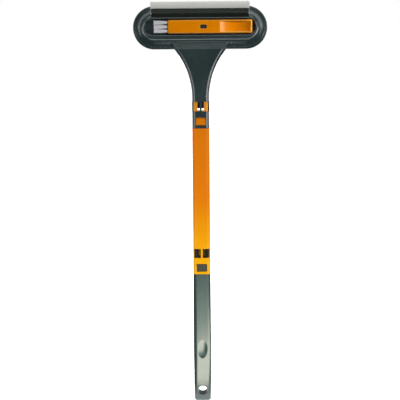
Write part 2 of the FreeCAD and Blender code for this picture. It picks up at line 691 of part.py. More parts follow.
# Scrubbing pad on the back: plate, hook sheet, loop backing, foam and crowned cover
def make_pad():
    plate_back = pole_back + s.plate_thick
    plate = slab("pad_plate_form", "XZ_Plane", -plate_back, s.plate_thick, inset_track(s.plate_inset))
    keep(cut("pad_plate", plate, screw_holes("pad_plate_hole", plate_places, plate_back, s.plate_thick)))
    screws("pad_plate_screws", plate_places, plate_back, s.screw_grip)
    hook_back = plate_back + s.hook_thick
    keep(slab("hook_sheet", "XZ_Plane", -hook_back, s.hook_thick, inset_track(s.hook_inset)))
    backing_back = hook_back + s.backing_thick
    keep(slab("pad_backing", "XZ_Plane", -backing_back, s.backing_thick, inset_track(s.backing_inset)))
    keep(slab("pad_foam", "XZ_Plane", -backing_back - s.foam_thick, s.foam_thick,
              inset_track(s.foam_inset)))

    # Crown and drawn-in sides: shares of the thickness, and of half the thickness taken off each side
    crown_shares = [(0, 0.42), (0.28, 0), (0.62, 0.14), (0.88, 0.62), (1, 1.4)]
    cover = new_body("pad_cover_form")
    sections = []
    for depth_share, inset_share in crown_shares:
        inset = s.pad_inset * 2 + s.pad_thick * inset_share
        width = s.flange_width - inset
        height = s.flange_height - inset
        sketch = new_sketch(cover, "XZ_Plane", -backing_back - s.pad_thick * depth_share)
        draw_belt(sketch, rounded(width, height, height / 2 - s.pad_corner_gap, 0, head_middle))
        sections.append(sketch)
    loft = cover.newObject("PartDesign::AdditiveLoft", "pad_cover_loft")
    loft.Profile = sections[0]
    loft.Sections = sections[1:]
    doc.recompute()
    room = slab("pad_foam_room", "XZ_Plane", -backing_back - s.foam_thick - s.foam_gap,
                s.foam_thick + s.foam_gap + s.overrun, inset_track(s.foam_inset - s.foam_gap))
    keep(cut("pad_cover", cover, [room]))


# Squeegee across the top: holder bar on the ridge, rubber blade leaning forwards.
# The holder's back follows the dish from this point of its profile up to the crest.
saddle_start = 4


def make_squeegee():
    back = -s.ridge_front
    low = holder_base
    high = low + s.holder_height
    lip_low = high - s.lip_height
    leg_front = back - s.holder_leg
    lip_front = back - s.lip_reach
    flange_high = head_middle + s.flange_height / 2
    saddle = [(-s.rim_front - dish_rise * rise_share - s.saddle_gap, flange_high - s.dish_slope * slope_share)
              for rise_share, slope_share in reversed(dish_shares[saddle_start:-1])]
    outline = [(back, low), (back, flange_high - s.dish_slope)] + saddle
    outline += [(back - s.blade_bead, high - s.blade_root / 2), (lip_front + s.blade_root, high),
                (lip_front, high - s.blade_root / 2), (lip_front + s.blade_tip, lip_low),
                (leg_front, lip_low - s.blade_tip), (leg_front, low)]
    start = -holder_length / 2
    bead_y = back - s.bead_in
    bead_z = low + s.bead_up
    blade_tip = (bead_y - s.blade_lean, bead_z + s.blade_rise)
    span = math.hypot(s.blade_lean.value, s.blade_rise.value)
    across_y = s.blade_rise.value / span
    across_z = s.blade_lean.value / span

    def blade_corners(gap):
        root_y = s.blade_root / 2 * across_y + gap * across_y
        root_z = s.blade_root / 2 * across_z + gap * across_z
        tip_y = s.blade_tip / 2 * across_y + gap * across_y
        tip_z = s.blade_tip / 2 * across_z + gap * across_z
        return [(bead_y - root_y, bead_z - root_z), (blade_tip[0] - tip_y, blade_tip[1] - tip_z),
                (blade_tip[0] + tip_y, blade_tip[1] + tip_z), (bead_y + root_y, bead_z + root_z)]

    holder = bar("squeegee_holder_form", "YZ_Plane", start, holder_length, outline)
    slot_start = start - s.overrun
    slot_length = holder_length + s.overrun * 2
    slot = bar("squeegee_slot", "YZ_Plane", slot_start, slot_length, blade_corners(s.blade_gap))
    groove = rod("squeegee_groove", "right", slot_start, bead_y, bead_z, s.blade_bead + s.blade_gap,
                 slot_length)
    holes = [rod("squeegee_hole%d" % index, "front", x, back + s.overrun, z, s.screw_radius + s.screw_gap,
                 s.holder_screw_grip + s.overrun) for index, (x, z) in enumerate(holder_places)]
    keep(cut("squeegee_holder", holder, [slot, groove] + holes))
    blade_start = start - s.blade_overhang
    blade_length = holder_length + s.blade_overhang * 2
    strip = bar("squeegee_strip", "YZ_Plane", blade_start, blade_length, blade_corners(as_size(0)))
    bead = rod("squeegee_bead", "right", blade_start, bead_y, bead_z, s.blade_bead, blade_length)
    keep(fuse("squeegee_blade", [strip, bead]))
    screws("squeegee_screws", holder_places, cavity_front + s.screw_head_thick,
           cavity_front + s.ridge_front + s.holder_screw_grip - s.screw_gap)


# Gap brush: handle with thumb scoop and peg slot, bristle tufts out of its left end
def make_brush():
    back = -s.recess_floor - s.brush_seat_gap
    front = -s.brush_front
    right = recess_width / 2 - s.brush_end_gap
    left = recess_width / 2 - s.tuft_end_gap - s.tuft_length
    height = recess_height - s.brush_side_gap * 2
    form = slab("brush_form", "XZ_Plane", -back, back - front,
                rounded(left + right, height, s.brush_corner, (right - left) / 2, recess_middle))
    bevel_edges(form, s.brush_chamfer, on_plane("Y", front))
    scoop_radius = arc_radius(s.scoop_length / 2, s.scoop_depth)
    scoop_middle = right - s.scoop_rim - s.scoop_length / 2
    scoop_low = recess_middle - height / 2 + s.scoop_rim
    scoop_height = height - s.scoop_rim * 2
    scoop = rod("brush_scoop", "up", scoop_middle, front + s.scoop_depth - scoop_radius, scoop_low,
                scoop_radius, scoop_height)
    slot = box("brush_peg_slot",
               (peg_middle - s.peg_width / 2 - s.peg_fit, peg_middle + s.peg_width / 2 + s.peg_fit),
               (front - s.overrun, back + s.overrun),
               (recess_middle - s.peg_height / 2 - s.peg_fit, recess_middle + s.peg_height / 2 + s.peg_fit))
    depth_middle = (back + front) / 2
    root = -left + s.tuft_hole
    holes = []
    tufts = []
    anchors = []
    for row in (-1, 1):
        for column in (-1, 0, 1):
            tag = "%d_%d" % (row + 1, column + 1)
            y = depth_middle + s.tuft_row_pitch / 2 * row
            z = recess_middle + s.tuft_pitch * column
            holes.append(rod("tuft_hole_" + tag, "left", root, y, z, s.tuft_radius + s.screw_gap,
                             s.tuft_hole + s.overrun))
            shank = rod("tuft_shank_" + tag, "left", root, y, z, s.tuft_radius, s.tuft_hole)
            flare = rod("tuft_flare_" + tag, "left", -left, y, z, s.tuft_radius, s.tuft_length,
                        s.tuft_splay)
            split = box("tuft_split_" + tag,
                        (root - s.anchor_length - s.screw_gap, root + s.overrun),
                        (y - s.anchor_width / 2 - s.screw_gap, y + s.anchor_width / 2 + s.screw_gap),
                        (z - s.anchor_thick / 2 - s.screw_gap, z + s.anchor_thick / 2 + s.screw_gap))
            tufts.append(cut("tuft_" + tag, fuse("tuft_form_" + tag, [shank, flare]), [split]))
            anchors.append(box("anchor_" + tag, (root - s.anchor_length, root),
                               (y - s.anchor_width / 2, y + s.anchor_width / 2),
                               (z - s.anchor_thick / 2, z + s.anchor_thick / 2)))
    keep(cut("brush_handle", form, [scoop, slot] + holes))
    keep(group("bristle_tufts", tufts))
    keep(group("tuft_anchors", anchors))


make_handle()
make_plug("lower_plug", lower_shoulder)
make_latch("lower_latch", lower_shoulder)
upper_places = make_plug("upper_plug", upper_shoulder)
make_latch("upper_latch", upper_shoulder)
make_mid_pole(upper_places)
make_head()
make_pad()
make_squeegee()
make_brush()
doc.recompute()

failed = [thing.Label for thing in doc.Objects if {"Invalid", "Error"} & set(thing.State)]
failed += [node.Label for node in nodes if node.Shape.isNull() or not node.Shape.isValid()]
if failed:
    raise RuntimeError("failed: " + ", ".join(failed))
os.makedirs("parts", exist_ok=True)
for node in nodes:
    node.Shape.exportStep("parts/%s.step" % node.Label)
    print("%-22s %2d solids %10.1f mm3" % (node.Label, len(node.Shape.Solids), node.Shape.Volume))
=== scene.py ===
import math
import random

import bpy
from mathutils import Matrix, Vector


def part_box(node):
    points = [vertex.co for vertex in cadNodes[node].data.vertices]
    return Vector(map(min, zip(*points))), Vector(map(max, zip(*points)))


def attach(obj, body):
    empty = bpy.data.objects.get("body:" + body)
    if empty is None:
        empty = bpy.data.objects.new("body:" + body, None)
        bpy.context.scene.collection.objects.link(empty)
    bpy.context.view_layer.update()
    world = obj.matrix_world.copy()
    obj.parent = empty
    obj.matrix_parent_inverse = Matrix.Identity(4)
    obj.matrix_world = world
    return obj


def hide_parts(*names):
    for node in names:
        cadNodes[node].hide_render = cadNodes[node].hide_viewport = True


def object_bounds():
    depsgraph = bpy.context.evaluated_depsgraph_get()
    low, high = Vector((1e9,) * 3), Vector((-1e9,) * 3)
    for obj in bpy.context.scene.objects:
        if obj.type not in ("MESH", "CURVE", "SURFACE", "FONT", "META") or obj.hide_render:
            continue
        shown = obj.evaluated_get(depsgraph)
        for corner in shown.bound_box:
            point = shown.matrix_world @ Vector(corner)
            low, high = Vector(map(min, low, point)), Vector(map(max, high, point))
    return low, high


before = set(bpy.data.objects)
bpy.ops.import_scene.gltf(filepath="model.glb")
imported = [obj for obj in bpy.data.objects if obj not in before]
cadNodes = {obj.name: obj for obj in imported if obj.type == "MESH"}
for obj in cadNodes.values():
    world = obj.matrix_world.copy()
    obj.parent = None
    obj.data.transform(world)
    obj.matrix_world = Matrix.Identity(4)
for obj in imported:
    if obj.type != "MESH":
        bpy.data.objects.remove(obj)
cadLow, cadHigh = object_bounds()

# Window scrubber: green head with squeegee and gap brush, orange pole, green handle.
# Metres, X right, Y away from the viewer, Z up, origin in the hanging hole.
sceneNow = bpy.context.scene
mm = 0.001


def deselectAll():
    if bpy.context.object and bpy.context.object.mode != "OBJECT":
        bpy.ops.object.mode_set(mode="OBJECT")
    bpy.ops.object.select_all(action="DESELECT")


def makeActive(piece):
    deselectAll()
    piece.select_set(True)
    bpy.context.view_layer.objects.active = piece


def named(piece, name):
    piece.name = name
    piece.data.name = name
    return piece


def applyPlace(piece):
    makeActive(piece)
    bpy.ops.object.transform_apply(location=True, rotation=True, scale=True)


def applyModifiers(piece):
    makeActive(piece)
    for modifier in list(piece.modifiers):
        bpy.ops.object.modifier_apply(modifier=modifier.name)


def joinAll(pieces, name):
    deselectAll()
    for piece in pieces:
        piece.select_set(True)
    bpy.context.view_layer.objects.active = pieces[0]
    bpy.ops.object.join()
    return named(bpy.context.object, name)


def chooseVertices(piece, test):
    makeActive(piece)
    bpy.ops.object.mode_set(mode="EDIT")
    bpy.ops.mesh.select_mode(type="VERT")
    bpy.ops.mesh.select_all(action="DESELECT")
    bpy.ops.object.mode_set(mode="OBJECT")
    for vertex in piece.data.vertices:
        vertex.select = test(vertex.co)
    bpy.ops.object.mode_set(mode="EDIT")


def smoothByAngle(piece, degrees):
    makeActive(piece)
    bpy.ops.object.shade_smooth_by_angle(angle=math.radians(degrees))


def copyOf(piece, place):
    twin = piece.copy()
    twin.data = piece.data.copy()
    twin.data.transform(place)
    sceneNow.collection.objects.link(twin)
    return twin


# Node helpers
def newGroup(name, inputs, outputs):
    group = bpy.data.node_groups.new(name, "ShaderNodeTree")
    for label, kind, start in inputs:
        socket = group.interface.new_socket(label, in_out="INPUT", socket_type=kind)
        socket.default_value = start
    for label, kind in outputs:
        group.interface.new_socket(label, in_out="OUTPUT", socket_type=kind)
    source = group.nodes.new("NodeGroupInput")
    target = group.nodes.new("NodeGroupOutput")
    return group, source, target


def feed(tree, socket, value):  # by a link from another socket, or with a plain value
    if isinstance(value, bpy.types.NodeSocket):
        tree.links.new(value, socket)
    else:
        socket.default_value = value


def setInputs(tree, node, **inputs):
    for label, value in inputs.items():
        feed(tree, node.inputs[label.replace("_", " ")], value)


def addNode(tree, kind, settings=None, **inputs):
    node = tree.nodes.new(kind)
    for label, value in (settings or {}).items():
        setattr(node, label, value)
    setInputs(tree, node, **inputs)
    return node


def addGroup(tree, group, **inputs):
    return addNode(tree, "ShaderNodeGroup", {"node_tree": group}, **inputs)


def mathNode(tree, operation, *values):
    node = addNode(tree, "ShaderNodeMath", {"operation": operation})
    for socket, value in zip(node.inputs, values):
        feed(tree, socket, value)
    return node.outputs[0]


def mixColour(tree, factor, first, second):
    node = addNode(tree, "ShaderNodeMix", {"data_type": "RGBA"})
    for index, value in ((0, factor), (6, first), (7, second)):  # its colour sockets
        feed(tree, node.inputs[index], value)
    return node.outputs[2]


def mapRange(tree, value, low, high, toLow=0.0, toHigh=1.0, way="LINEAR"):
    node = addNode(tree, "ShaderNodeMapRange", {"interpolation_type": way})
    for socket, amount in zip(node.inputs, (value, low, high, toLow, toHigh)):
        feed(tree, socket, amount)
    return node.outputs[0]


def ownPlace(tree):
    return addNode(tree, "ShaderNodeTexCoord").outputs["Object"]


noiseSpan = (0.3, 0.7)  # where most of a noise texture's values lie


def noiseNode(tree, place, scale, detail, **more):
    noise = addNode(tree, "ShaderNodeTexNoise", None, Vector=place, Scale=scale, Detail=detail, **more)
    return noise.outputs[0]


# Noise drawn out into lines
def linesNode(tree, place, stretch, detail, tilt=(0, 0, 0)):
    drawn = addNode(tree, "ShaderNodeMapping", None, Vector=place, Rotation=tilt, Scale=stretch)
    return noiseNode(tree, drawn.outputs[0], 1.0, detail)


def addBump(tree, shader, height, strength, step, **more):
    bump = addNode(tree, "ShaderNodeBump", None, Height=height, Strength=strength, Distance=step, **more)
    tree.links.new(bump.outputs[0], shader.inputs["Normal"])
    return bump


def newMaterial(name):
    material = bpy.data.materials.new(name)
    material.use_nodes = True
    tree = material.node_tree
    return material, tree, tree.nodes["Principled BSDF"]


# One shader for reflections and shading, another for what the camera sees
def splitByRay(tree, reflected, seen):
    path = addNode(tree, "ShaderNodeLightPath")
    mix = addNode(tree, "ShaderNodeMixShader")
    tree.links.new(path.outputs["Is Camera Ray"], mix.inputs[0])
    tree.links.new(reflected.outputs[0], mix.inputs[1])
    tree.links.new(seen.outputs[0], mix.inputs[2])
    return mix.outputs[0]


# Camera at the photograph's angle
cameraSet = {
    "place": (-2.3 * mm, -1630 * mm, 591 * mm),
    "pitchDown": 9.3,
    "roll": -0.45,
    "lens": 90.2,
    "sensor": 36,
    "clip": (0.01, 200),
}


def makeCamera():
    bpy.ops.object.camera_add(location=cameraSet["place"])
    camera = bpy.context.object
    camera.name = "photoCamera"
    tilt = Matrix.Rotation(math.radians(90 - cameraSet["pitchDown"]), 3, "X")
    roll = Matrix.Rotation(math.radians(cameraSet["roll"]), 3, "Z")
    camera.rotation_euler = (tilt @ roll).to_euler()
    camera.data.lens = cameraSet["lens"]
    camera.data.sensor_width = cameraSet["sensor"]
    camera.data.clip_start, camera.data.clip_end = cameraSet["clip"]
    sceneNow.camera = camera
    print("camera set")


# Studio: white surroundings brightest at the sides and dim in front, soft boxes, and a pale floor
# that is dark in reflections, apart from a glow far behind and one round the handle's end
studioSet = {
    "frontLevel": 0.07,
    "sideLevel": 3.2,
    "backLevel": 0.3,
    "sideStart": (-0.25, 0.1),
    "rightLean": 0.12,  # the right side shines from further in front than the left
    "sideEnd": (0.68, 0.92),
    "floorSize": 60,
    "floorColour": (0.94, 0.94, 0.935, 1),
    "floorRough": 0.6,
    "floorGlow": 0.75,
    "floorBounce": (0.08, 0.08, 0.08, 1),
    "backGlow": {"from": 0.5, "to": 1.5, "level": 1.0},  # far behind, for the rims
    "footGlow": {"from": 0.09, "to": 0.04, "level": 4.0},  # close by, for the handle's end
}
softBoxes = {  # "lights" names all that a box shines on, "leaves" what it passes over
    "topBox": {"place": (0.1, -0.3, 1.8), "aim": (0, 0, 0.55), "size": (1.2, 0.8), "watts": 2.5},
    "leftBox": {"place": (-0.65, -1.2, 0.35), "aim": (0, 0, 0.5), "size": (0.6, 1.0), "watts": 6.2,
                "leaves": ["brush_handle", "head_shell", "squeegee_holder"]},
    "rightBox": {"place": (0.65, -1.2, 0.6), "aim": (0, 0, 0.5), "size": (0.6, 1.1), "watts": 8.2,
                 "leaves": ["brush_handle", "head_shell", "squeegee_holder"]},
    "ringLeft": {"place": (-0.85, -1.08, 0.46), "aim": (0, 0, 0.6), "size": (0.6, 0.7), "watts": 9.5,
                 "lights": ["head_shell"]},
    "ringRight": {"place": (0.83, -1.1, 0.46), "aim": (0, 0, 0.6), "size": (0.7, 0.8), "watts": 18.0,
                  "lights": ["head_shell"]},
    "ringTop": {"place": (0, -0.95, 1.3), "aim": (0, 0, 0.6), "size": (1.4, 0.5), "watts": 7.5,
                "lights": ["head_shell"]},
    "frontBox": {"place": (0, -0.97, -0.017), "aim": (0, -0.97, 1), "size": (0.8, 0.62), "watts": 8.5,
                 "lights": ["head_shell", "neck_cover"]},
    "lipBox": {"place": (0, -0.55, -0.016), "aim": (0, -0.55, 1), "size": (0.8, 0.5), "watts": 13.0,
               "tint": (0.96, 1, 0.84), "lights": ["squeegee_holder"]},
    "rimLeft": {"place": (-1.2, 0.5, 0.4), "aim": (0, 0, 0.5), "size": (0.7, 0.8), "watts": 8.0,
                "lights": ["head_shell"]},
    "rimRight": {"place": (1.2, 0.5, 0.4), "aim": (0, 0, 0.5), "size": (0.7, 0.8), "watts": 8.0,
                 "lights": ["head_shell"]},
    "brushKey": {"place": (0.95, -0.8, 0.8), "aim": (0.05, 0, 0.6), "size": (0.25, 0.4), "watts": 17.5,
                 "tint": (1, 1, 0.78), "lights": ["brush_handle"]},
    "gripBox": {"place": (0.2, -0.23, -0.016), "aim": (0.2, -0.23, 1), "size": (0.5, 0.3), "watts": 6.3,
                "tint": (1, 0.96, 0.81), "lights": ["handle_front_shell", "handle_back_shell"]},
    "gripFill": {"place": (0.12, -0.6, -0.016), "aim": (0.12, -0.6, 1), "size": (0.5, 0.4), "watts": 2.5,
                 "tint": (0.94, 1, 0.92), "lights": ["handle_front_shell", "handle_back_shell"]},
    "poleLeft": {"place": (-0.22, -0.3, 0.12), "aim": (0, 0, 0.2), "size": (0.2, 0.2), "watts": 0.5,
                 "lights": ["mid_pole_tube"]},
    "poleRight": {"place": (0.22, -0.3, 0.12), "aim": (0, 0, 0.2), "size": (0.2, 0.2), "watts": 0.6,
                  "lights": ["mid_pole_tube"]},
}


def makeSurroundings():
    world = bpy.data.worlds.new("studio")
    sceneNow.world = world
    world.use_nodes = True
    tree = world.node_tree
    tree.nodes.clear()
    place = addNode(tree, "ShaderNodeTexCoord")
    split = addNode(tree, "ShaderNodeSeparateXYZ", None, Vector=place.outputs["Generated"])
    leaned = mathNode(tree, "MULTIPLY_ADD", split.outputs["X"], studioSet["rightLean"], split.outputs["Y"])
    rise = mapRange(tree, leaned, *studioSet["sideStart"], studioSet["frontLevel"], studioSet["sideLevel"],
                    "SMOOTHSTEP")
    fall = mapRange(tree, split.outputs["Y"], *studioSet["sideEnd"], studioSet["sideLevel"],
                    studioSet["backLevel"], "SMOOTHSTEP")
    around = addNode(tree, "ShaderNodeBackground", None, Strength=mathNode(tree, "MINIMUM", rise, fall))
    seen = addNode(tree, "ShaderNodeBackground", None, Color=(1, 1, 1, 1))
    out = addNode(tree, "ShaderNodeOutputWorld")
    tree.links.new(splitByRay(tree, around, seen), out.inputs["Surface"])


def makeSoftBoxes():
    for name, box in softBoxes.items():
        bpy.ops.object.light_add(type="AREA", location=box["place"])
        light = bpy.context.object
        light.name = name
        light.data.shape = "RECTANGLE"
        light.data.size, light.data.size_y = box["size"]
        light.data.energy = box["watts"]
        light.data.color = box.get("tint", (1, 1, 1))
        aim = Vector(box["aim"]) - Vector(box["place"])
        light.rotation_euler = aim.to_track_quat("-Z", "Y").to_euler()
        light.visible_camera = False
        chosen = box.get("lights", []) + box.get("leaves", [])
        if chosen:
            lit = bpy.data.collections.new(name + "Lit")
            for node in chosen:
                lit.objects.link(cadNodes[node])
            for entry in lit.collection_objects:
                entry.light_linking.link_state = "INCLUDE" if "lights" in box else "EXCLUDE"
            light.light_linking.receiver_collection = lit


def makeFloor():
    deselectAll()
    bpy.ops.mesh.primitive_plane_add(size=studioSet["floorSize"], location=(0, 0, cadLow.z))
    floor = named(bpy.context.object, "floor")
    material, tree, shader = newMaterial("paleFloor")
    setInputs(tree, shader, Base_Color=studioSet["floorColour"], Roughness=studioSet["floorRough"],
              Emission_Color=(1, 1, 1, 1), Emission_Strength=studioSet["floorGlow"])
    place = ownPlace(tree)
    split = addNode(tree, "ShaderNodeSeparateXYZ", None, Vector=place)
    away = addNode(tree, "ShaderNodeVectorMath", {"operation": "LENGTH"}, Vector=place)
    backGlow, footGlow = studioSet["backGlow"], studioSet["footGlow"]
    behind = mapRange(tree, split.outputs["Y"], backGlow["from"], backGlow["to"], 0.0, backGlow["level"])
    close = mapRange(tree, away.outputs["Value"], footGlow["from"], footGlow["to"], 0.0, footGlow["level"])
    glow = addNode(tree, "ShaderNodeEmission", None, Strength=mathNode(tree, "ADD", behind, close))
    bounce = addNode(tree, "ShaderNodeBsdfDiffuse", None, Color=studioSet["floorBounce"])
    both = addNode(tree, "ShaderNodeAddShader")
    tree.links.new(bounce.outputs[0], both.inputs[0])
    tree.links.new(glow.outputs[0], both.inputs[1])
    tree.links.new(splitByRay(tree, both, shader), tree.nodes["Material Output"].inputs["Surface"])
    floor.data.materials.append(material)


def makeStudio():
    makeSurroundings()
    makeSoftBoxes()
    makeFloor()
    sceneNow.view_settings.view_transform = "Standard"
    print("studio set")


# Mask that is white on worn outer edges, and with Cover at 1 white along every outer edge, where it paints
# an edge highlight
wearSet = {"width": 0.9 * mm, "samples": 4, "bend": (0.995, 0.86), "breakup": 160.0, "detail": 4.0,
           "patches": (0.38, 0.62)}


def makeEdgeWearAndLight():
    group, source, target = newGroup("edgeWearAndLight", [
        ("Width", "NodeSocketFloat", wearSet["width"]),
        ("Breakup", "NodeSocketFloat", wearSet["breakup"]),
        ("Cover", "NodeSocketFloat", 0.0),
    ], [("Mask", "NodeSocketFloat"), ("Rounded Normal", "NodeSocketVector")])
    rounded = addNode(group, "ShaderNodeBevel", {"samples": wearSet["samples"]},
                      Radius=source.outputs["Width"])
    flat = addNode(group, "ShaderNodeNewGeometry")
    dot = addNode(group, "ShaderNodeVectorMath", {"operation": "DOT_PRODUCT"})
    group.links.new(rounded.outputs[0], dot.inputs[0])
    group.links.new(flat.outputs["Normal"], dot.inputs[1])
    edge = mapRange(group, dot.outputs["Value"], *wearSet["bend"])
    spots = noiseNode(group, ownPlace(group), source.outputs["Breakup"], wearSet["detail"])
    broken = mapRange(group, spots, *wearSet["patches"])
    covered = mathNode(group, "MAXIMUM", broken, source.outputs["Cover"])
    setInputs(group, target, Mask=mathNode(group, "MULTIPLY", edge, covered),
              Rounded_Normal=rounded.outputs[0])
    return group


# Fine moulded grain, slow mottle and hair scratches along the pole
skinSet = {"grain": 2600.0, "grainDetail": 2.0, "mottle": 24.0, "mottleDetail": 5.0, "mottleRough": 0.62,
           "scratches": 0.5, "lineStretch": (1900, 1900, 26), "lineTilt": (0.05, 0.03, 0),
           "lineDetail": 1.0, "lineCut": (0.71, 0.78)}


def makeMouldedSkin():
    group, source, target = newGroup("mouldedSkin", [
        ("Grain", "NodeSocketFloat", skinSet["grain"]),
        ("Mottle", "NodeSocketFloat", skinSet["mottle"]),
        ("Scratches", "NodeSocketFloat", skinSet["scratches"]),
    ], [("Height", "NodeSocketFloat"), ("Mottling", "NodeSocketFloat"), ("Hairlines", "NodeSocketFloat")])
    place = ownPlace(group)
    grain = noiseNode(group, place, source.outputs["Grain"], skinSet["grainDetail"])
    cloud = noiseNode(group, place, source.outputs["Mottle"], skinSet["mottleDetail"],
                      Roughness=skinSet["mottleRough"])
    lines = linesNode(group, place, skinSet["lineStretch"], skinSet["lineDetail"], skinSet["lineTilt"])
    thin = mapRange(group, lines, *skinSet["lineCut"])
    scratched = mathNode(group, "MULTIPLY", thin, source.outputs["Scratches"])
    setInputs(group, target, Height=grain, Mottling=cloud, Hairlines=scratched)
    return group


edgeWearAndLight = makeEdgeWearAndLight()
mouldedSkin = makeMouldedSkin()


plasticFinishes = {
    "greenPlastic": {"colour": (0.0078, 0.0158, 0.0162, 1), "deep": (0.0067, 0.0138, 0.0144, 1),
                     "wornAndLitEdge": (0.06, 0.085, 0.082, 1), "rough": (0.2, 0.29), "grain": 0.02, "shine": 0.5},
    # The handle's copy of the green plastic, painted nearly twice as bright: painted light
    "litGreenPlastic": {"colour": (0.0135, 0.0305, 0.0285, 1), "deep": (0.0118, 0.0268, 0.0252, 1),
                    "wornAndLitEdge": (0.06, 0.085, 0.082, 1), "rough": (0.2, 0.29), "grain": 0.02, "shine": 0.5},
    "blackPlastic": {"colour": (0.0085, 0.0115, 0.0112, 1), "deep": (0.007, 0.0095, 0.0095, 1),
                     "wornAndLitEdge": (0.04, 0.05, 0.048, 1), "rough": (0.3, 0.4), "grain": 0.03, "shine": 0.2},
    "orangePlastic": {"colour": (0.88, 0.25, 0, 1), "deep": (0.82, 0.222, 0, 1),
                      "wornAndLitEdge": (0.92, 0.5, 0.06, 1), "rough": (0.26, 0.36), "grain": 0.02, "shine": 0.12},
    # The plug's orange, painted lighter and yellower than the latch's: painted highlight
    "litPlugPlastic": {"colour": (0.94, 0.36, 0.03, 1), "deep": (0.9, 0.33, 0.025, 1),
                    "wornAndLitEdge": (0.95, 0.55, 0.1, 1), "rough": (0.26, 0.36), "grain": 0.02, "shine": 0.12},
    # The brush's whole edge band, 1.6 mm wide, is painted pale yellow orange: a painted edge highlight
    "brushPlastic": {"colour": (0.78, 0.24, 0, 1), "deep": (0.72, 0.21, 0, 1), "wornAndLitEdge": (0.95, 0.6, 0.16, 1),
                     "rough": (0.24, 0.33), "grain": 0.02, "shine": 0.12, "rim": 1.0, "edge": 1.6 * mm},
    # The pole is painted lighter and yellower towards its lower end: painted light from below
    "polePlastic": {"colour": (0.735, 0.193, 0, 1), "deep": (0.695, 0.175, 0, 1),
                    "wornAndLitEdge": (0.92, 0.5, 0.06, 1), "rough": (0.26, 0.36), "grain": 0.02, "shine": 0.12,
                    "lowEndLight": {"from": 330 * mm, "to": 235 * mm, "colour": (0.79, 0.36, 0, 1)}},
    "greyPlastic": {"colour": (0.034, 0.037, 0.037, 1), "deep": (0.028, 0.031, 0.031, 1),
                    "wornAndLitEdge": (0.15, 0.16, 0.15, 1), "rough": (0.36, 0.48), "grain": 0.05, "shine": 0.4},
    "latchPlastic": {"colour": (0.11, 0.113, 0.086, 1), "deep": (0.095, 0.098, 0.074, 1),
                     "wornAndLitEdge": (0.15, 0.16, 0.15, 1), "rough": (0.36, 0.48), "grain": 0.05, "shine": 0.4},
}
plasticSet = {"wearAndHighlight": 0.55, "toneSpan": (0.32, 0.7), "roughSpan": (0.3, 0.72), "lineRough": 0.22,
              "lineDepth": -0.6, "grainStep": 0.12 * mm}


def makePlastic(name):
    finish = plasticFinishes[name]
    material, tree, shader = newMaterial(name)
    skin = addGroup(tree, mouldedSkin)
    # A rim of 1 lays the edge colour on the whole edge band: painted edge highlight, not wear
    rim = finish.get("rim", 0.0)
    wearAndHighlight = addGroup(tree, edgeWearAndLight, Cover=rim, Width=finish.get("edge", wearSet["width"]))
    tone = mapRange(tree, skin.outputs["Mottling"], *plasticSet["toneSpan"])
    plain = mixColour(tree, tone, finish["deep"], finish["colour"])
    # Painted light: the colour turns lighter and yellower from the top of the span down to its lower end
    if "lowEndLight" in finish:
        lowEndLight = finish["lowEndLight"]
        split = addNode(tree, "ShaderNodeSeparateXYZ", None, Vector=ownPlace(tree))
        lowEndLitShare = mapRange(tree, split.outputs["Z"], lowEndLight["from"], lowEndLight["to"])
        plain = mixColour(tree, lowEndLitShare, plain, lowEndLight["colour"])
    share = mathNode(tree, "MULTIPLY", wearAndHighlight.outputs["Mask"], max(rim, plasticSet["wearAndHighlight"]))
    wornAndLitEdge = mixColour(tree, share, plain, finish["wornAndLitEdge"])
    rubbed = mapRange(tree, skin.outputs["Mottling"], *plasticSet["roughSpan"], *finish["rough"])
    lined = mathNode(tree, "MULTIPLY_ADD", skin.outputs["Hairlines"], plasticSet["lineRough"], rubbed)
    height = mathNode(tree, "MULTIPLY_ADD", skin.outputs["Hairlines"], plasticSet["lineDepth"],
                      skin.outputs["Height"])
    addBump(tree, shader, height, finish["grain"], plasticSet["grainStep"],
            Normal=wearAndHighlight.outputs["Rounded Normal"])
    setInputs(tree, shader, Base_Color=wornAndLitEdge, Roughness=lined, Specular_IOR_Level=finish["shine"])
    return material


# The blade is painted darker towards its root and lighter towards its tip: painted shade below, painted
# light above, with random mottling on top
rubberFinish = {"tip": (0.92, 0.925, 0.885, 1), "root": (0.55, 0.56, 0.51, 1), "rough": (0.5, 0.68),
                "rootHeight": 8 * mm, "drift": 0.35, "driftBase": 0.17, "grain": 1500.0, "mottle": 40.0,
                "lines": (14, 900, 900), "lineDetail": 2.0, "lineDepth": 0.8, "bump": 0.1,
                "bumpStep": 0.1 * mm}


def makeRubber():
    material, tree, shader = newMaterial("bladeRubber")
    low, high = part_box("squeegee_blade")
    place = ownPlace(tree)
    split = addNode(tree, "ShaderNodeSeparateXYZ", None, Vector=place)
    skin = addGroup(tree, mouldedSkin, Grain=rubberFinish["grain"], Mottle=rubberFinish["mottle"])
    # Painted light and shade: rises from 8 mm above the blade's lower end to its tip
    litTowardsTip = mapRange(tree, split.outputs["Z"], low.z + rubberFinish["rootHeight"], high.z)
    drift = mathNode(tree, "MULTIPLY_ADD", skin.outputs["Mottling"], rubberFinish["drift"],
                     mathNode(tree, "SUBTRACT", litTowardsTip, rubberFinish["driftBase"]))
    lines = linesNode(tree, place, rubberFinish["lines"], rubberFinish["lineDetail"])
    height = mathNode(tree, "MULTIPLY_ADD", lines, rubberFinish["lineDepth"], skin.outputs["Height"])
    addBump(tree, shader, height, rubberFinish["bump"], rubberFinish["bumpStep"])
    setInputs(tree, shader, Base_Color=mixColour(tree, drift, rubberFinish["root"], rubberFinish["tip"]),
              Roughness=mapRange(tree, skin.outputs["Mottling"], *noiseSpan, *rubberFinish["rough"]))
    return material


